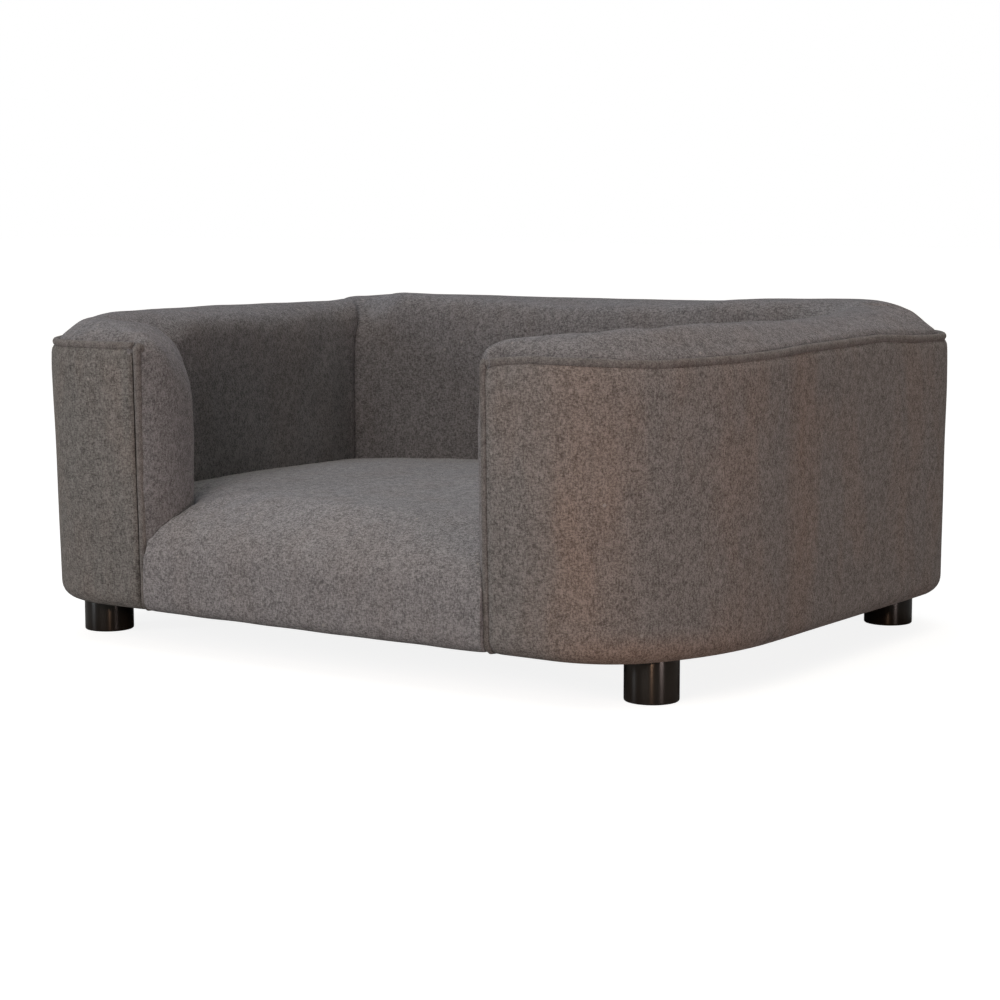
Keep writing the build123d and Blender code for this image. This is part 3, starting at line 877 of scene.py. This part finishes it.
# %% [markdown]
# Each cover is a grid wrapped round the plan, as paper is round a box: its columns walk along the
# outline and its rows follow the section. Wadding under tight cloth leaves faint ripples, and at both
# ends the cloth is tucked into a seam. The grid gets the thickness of the cloth on its inner side.

# %% Wrap the outer covers
column_step = 5
ripple_depth = 0.9
tuck_width = 9
cloth_thickness = 2


def wrapped_cover(name, begin, end, side, nodes, tucks, seam, lean, cloth):
    """A sheet wrapped round part of the outline, on the right side (1) or mirrored on the left (-1)."""
    length = end - begin
    column_count = int(length / column_step) + 1
    bpy.ops.object.select_all(action="DESELECT")
    bpy.ops.mesh.primitive_grid_add(
        x_subdivisions=column_count, y_subdivisions=row_count - 1, size=1, location=(0, 0, 0)
    )
    cover = bpy.context.object
    cover.name = name
    cover.data.name = name
    flat = points_of(cover) * MM
    sections = {}
    places = np.zeros_like(flat)
    for index, (u, v, _) in enumerate(flat):
        column = round((u + 0.5) * column_count)
        distance = begin + length * column / column_count
        if column not in sections:
            line = section(float(along(lean, distance)), float(along(seam, distance)))
            sections[column] = spread_evenly(line, row_count)[0]
        inset, height = sections[column][round((0.5 - v) * (row_count - 1))]
        (x, y), (out_x, out_y) = walk(distance)
        ripple = noise.noise(Vector((x * 0.012, y * 0.012, height * 0.014 + 7 * side)))
        inset -= ripple_depth * ripple * min(1, max(0, (cover_top - 8 - height) / 30))
        for gap, depth in zip((distance - begin, end - distance), tucks):
            inset += depth * max(0, 1 - gap / tuck_width) ** 2
        places[index] = (side * (x - inset * out_x), y - inset * out_y, height)
    set_points(cover, places)
    choose(cover)
    if side > 0:
        bpy.ops.object.mode_set(mode="EDIT")
        bpy.ops.mesh.select_all(action="SELECT")
        bpy.ops.mesh.flip_normals()
        bpy.ops.object.mode_set(mode="OBJECT")
    wall = cover.modifiers.new("thickness", "SOLIDIFY")
    wall.thickness = cloth_thickness * MM
    wall.offset = -1
    bpy.ops.object.modifier_apply(modifier="thickness")
    bpy.ops.object.shade_smooth()
    cover.data.materials.append(cloth)
    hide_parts(*nodes)
    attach(cover, "root")
    print(name, "cut", round(length), "x", round(section_length), "mm")


side_tucks = (1.8, 1.6)
back_tucks = (1.6, 1.6)
wrapped_cover(
    "outer_right",
    0,
    side_length,
    1,
    ["outer_right_cover"],
    side_tucks,
    right_seam,
    right_lean,
    right_wool_and_warm_light,
)
wrapped_cover(
    "outer_left",
    0,
    side_length,
    -1,
    ["outer_left_cover"],
    side_tucks,
    left_seam,
    left_lean,
    outer_wool,
)
wrapped_cover(
    "outer_back",
    side_length,
    side_length + back_length,
    1,
    ["outer_back_cover", "outer_wadding"],
    back_tucks,
    level,
    even_lean,
    outer_wool,
)


# %% [markdown]
# Piping is a cord in a strip of the same cloth, sewn into the seam. It follows the outline as a
# curve with a round section, with a slight hand-sewn wander, and is then made a mesh.

# %% Piping
piping_radius = 3.5
piping_depth = 2.8
top_steps = 190
nose_steps = 45
nose_lean = 4.5
nose_foot = 46


def piping(name, points, node_name):
    """A cloth-covered cord along a line of points in millimetres."""
    curve = bpy.data.curves.new(name, "CURVE")
    curve.dimensions = "3D"
    curve.bevel_depth = piping_radius * MM
    curve.bevel_resolution = 5
    curve.use_fill_caps = True
    spline = curve.splines.new("POLY")
    spline.points.add(len(points) - 1)
    for point, place in zip(spline.points, points):
        point.co = (*[value * MM for value in place], 1)
        point.radius = 1 + 0.06 * noise.noise(Vector(place) * 0.06)
    made = bpy.data.objects.new(name, curve)
    scene.collection.objects.link(made)
    choose(made)
    bpy.ops.object.convert(target="MESH")
    made = bpy.context.object
    welded()
    bpy.ops.object.shade_smooth()
    made.data.materials.append(piping_wool)
    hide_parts(node_name)
    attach(made, "root")
    print(name, "has", len(made.data.polygons), "faces")


def top_seam_side(side, seam):
    """Points along half of the top seam, from a nose round to the middle of the back."""
    points = []
    for step in range(top_steps + 1):
        distance = rim_length * step / top_steps
        (x, y), (out_x, out_y) = walk(distance)
        wander = 0.5 * noise.noise(Vector((x * 0.03, y * 0.03, 5 * side)))
        height = cover_top + piping_radius + float(along(seam, distance)) + wander
        points.append((side * (x - piping_depth * out_x), y - piping_depth * out_y, height))
    return points


top_points = top_seam_side(-1, left_seam)[:-1] + top_seam_side(1, right_seam)[::-1]
piping("top_seam_piping", top_points, "top_piping")


def nose_seam(side, lift):
    """Points down the front of a nose: over the top, down the leaning face and under the bottom edge."""
    face = front_y + piping_depth
    top = cover_top + piping_radius + lift
    points = [(side * 178.4, face + 6.5, top - 4.5), (side * 178.8, face + 4, top - 1.2)]
    points.append((side * 179.2, face + 1.6, top))
    face_top = top - 3
    for step in range(nose_steps + 1):
        share = step / nose_steps
        wander = 0.4 * noise.noise(Vector((side, 4, 0.03 * share * 220)))
        height = face_top - (face_top - nose_foot) * share
        points.append((side * (179.8 + wander), face + nose_lean * share, height))
    points += [(side * 180, face + 5.5, 41), (side * 180, face + 9, 38.5), (side * 180, face + 15, 38)]
    return points


piping("left_nose_seam_piping", nose_seam(-1, -2.2), "left_nose_piping")
piping("right_nose_seam_piping", nose_seam(1, -2.5), "right_nose_piping")


# %% [markdown]
# The legs are short turned pegs in a dark, glossy lacquer. Turning leaves fine rings, and those draw
# a highlight out into a narrow upright line, so the gloss is stretched upwards. A small lamp above the
# camera gives that line. It is linked to the legs alone, because on the wool it would flatten the shade.

# %% Legs
gloss = {"Roughness": 0.3, "Coat Weight": 0.3, "Coat Roughness": 0.12}
turned_rings = {"Anisotropic": 0.9, "Anisotropic Rotation": 0.25}
lacquer, tree, shader = principled("dark_lacquer", {**gloss, **turned_rings})
round_axis = node(tree, "ShaderNodeTangent", direction_type="RADIAL", axis="Z")
tree.links.new(round_axis.outputs["Tangent"], shader.inputs["Tangent"])
where = node(tree, "ShaderNodeTexCoord")
grain = stretched_noise(tree, where.outputs["Object"], (0, 0, 0), (1, 1, 0.06), 160, 3)
tree.links.new(mixed(tree, grain, paint(13, 11, 9), paint(34, 28, 22)), shader.inputs["Base Color"])
leg_glint = soft_window("leg_glint", (1.25, -1.81, 0.55), (0, 0, 0.02), 0.1, 10, paint(255, 205, 170))
glint_pieces = bpy.data.collections.new("glint_pieces")
leg_glint.light_linking.receiver_collection = glint_pieces


def leg(name, node_name):
    """A turned peg with the size and the place of its CAD leg."""
    low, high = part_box(node_name)
    bpy.ops.object.select_all(action="DESELECT")
    middle = (low + high) / 2
    bpy.ops.mesh.primitive_cylinder_add(
        vertices=64, radius=(high.x - low.x) / 2, depth=high.z - low.z, location=middle
    )
    made = bpy.context.object
    made.name = name
    made.data.name = name
    bpy.ops.object.transform_apply(location=True, rotation=True, scale=True)
    edge = made.modifiers.new("edge", "BEVEL")
    edge.width = 1.5 * MM
    edge.segments = 3
    bpy.ops.object.modifier_apply(modifier="edge")
    bpy.ops.object.shade_smooth_by_angle(angle=math.radians(35))
    made.data.materials.append(lacquer)
    glint_pieces.objects.link(made)
    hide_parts(node_name)
    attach(made, "root")
    wide = (high.x - low.x) / MM
    tall = (high.z - low.z) / MM
    print(name, "is", round(wide), "mm across and", round(tall), "mm tall")


for corner in ("front_left", "front_right", "rear_left", "rear_right"):
    leg("peg_" + corner, "leg_" + corner)


# %% [markdown]
# A black dust cloth closes the underside. It is stapled round its edge and sags a little towards
# the middle. A grid whose rows are as wide as the outline gives its shape.

# %% Dust cloth
dust_inset = 14
dust_squares = 60
dust_height = 36.6
dust_sag = 1.6
dust_thickness = 0.8
right_rim = rim_points - dust_inset * rim_ways
dust_front = right_rim[:, 1].min()
dust_back = right_rim[:, 1].max()
bpy.ops.object.select_all(action="DESELECT")
bpy.ops.mesh.primitive_grid_add(
    x_subdivisions=dust_squares, y_subdivisions=dust_squares, size=2, location=(0, 0, 0)
)
dust = bpy.context.object
dust.name = "dust_cloth_sheet"
dust.data.name = "dust_cloth_sheet"
places = points_of(dust) * MM
across = places[:, 0].copy()
deep = places[:, 1].copy()
places[:, 1] = (dust_front + dust_back) / 2 + deep * (dust_back - dust_front) / 2
rim_half = np.interp(places[:, 1], right_rim[:, 1], right_rim[:, 0])
places[:, 0] = across * rim_half
places[:, 2] = dust_height - dust_sag * (1 - across**2) * (1 - deep**2)
set_points(dust, places)
choose(dust)
wall = dust.modifiers.new("thickness", "SOLIDIFY")
wall.thickness = dust_thickness * MM
wall.offset = 0
bpy.ops.object.modifier_apply(modifier="thickness")
bpy.ops.object.shade_smooth()

dust_black, tree, shader = principled("dust_black", {"Roughness": 0.9})
where = node(tree, "ShaderNodeTexCoord")
threads = stretched_noise(tree, where.outputs["Object"], (0, 0, 0.4), (1, 0.2, 1), 900, 2)
tree.links.new(mixed(tree, threads, paint(16, 16, 17), paint(52, 51, 52)), shader.inputs["Base Color"])
dust.data.materials.append(dust_black)
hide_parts("dust_cover")
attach(dust, "root")


# %% [markdown]
# The frame inside keeps its CAD shapes and only needs its real materials: pine with a grain
# drawn out along each length, plywood with its layers on edge, brown hardboard,
# woven webbing and zinc-plated steel.

# %% Frame materials


def plain_finish(name, dark, pale, roughness, stretch, scale, metal=0):
    """A material of two tones mixed by stretched noise."""
    material, tree, shader = principled(name, {"Roughness": roughness, "Metallic": metal})
    where = node(tree, "ShaderNodeTexCoord")
    grain = stretched_noise(tree, where.outputs["Object"], (0, 0, 0), stretch, scale, 4)
    grain = ramp(tree, grain, 0.3, 0.7)
    tree.links.new(mixed(tree, grain, paint(*dark), paint(*pale)), shader.inputs["Base Color"])
    return material


pine_tones = ((186, 146, 96), (222, 189, 140))
pine_upright = plain_finish("pine_upright", *pine_tones, 0.6, (1, 1, 0.05), 220)
pine_crosswise = plain_finish("pine_crosswise", *pine_tones, 0.6, (0.05, 1, 1), 220)
pine_lengthwise = plain_finish("pine_lengthwise", *pine_tones, 0.6, (1, 0.05, 1), 220)
ply_layers = plain_finish("ply_layers", (176, 138, 92), (216, 184, 136), 0.6, (0.02, 0.02, 1), 330)
brown_hardboard = plain_finish("brown_hardboard", (104, 74, 48), (134, 98, 66), 0.7, (1, 1, 1), 500)
woven_webbing = plain_finish("woven_webbing", (58, 54, 50), (150, 140, 126), 0.85, (0.1, 1, 1), 420)
zinc_steel = plain_finish("zinc_plate", (150, 152, 156), (192, 194, 198), 0.35, (1, 1, 1), 180, 1)
finishes = {
    "base_ring": ply_layers,
    "top_former": ply_layers,
    "front_rail": pine_crosswise,
    "back_rail": pine_crosswise,
    "outer_board": brown_hardboard,
    "back_inner_board": brown_hardboard,
    "cross_webbing": woven_webbing,
    "long_webbing": woven_webbing,
}
for side in ("left", "right"):
    finishes[side + "_rail"] = pine_lengthwise
    finishes[side + "_inner_board"] = brown_hardboard
    finishes[side + "_nose_board"] = brown_hardboard
    for post in ("nose", "front", "rear", "back"):
        finishes[side + "_" + post + "_post"] = pine_upright
for fixing in ("leg_bolts", "tee_nuts", "base_screws", "former_screws", "dust_cover_staples"):
    finishes[fixing] = zinc_steel
for node_name, finish in finishes.items():
    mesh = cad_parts[node_name].data
    mesh.materials.clear()
    mesh.materials.append(finish)
print(len(finishes), "pieces of the frame have their materials")
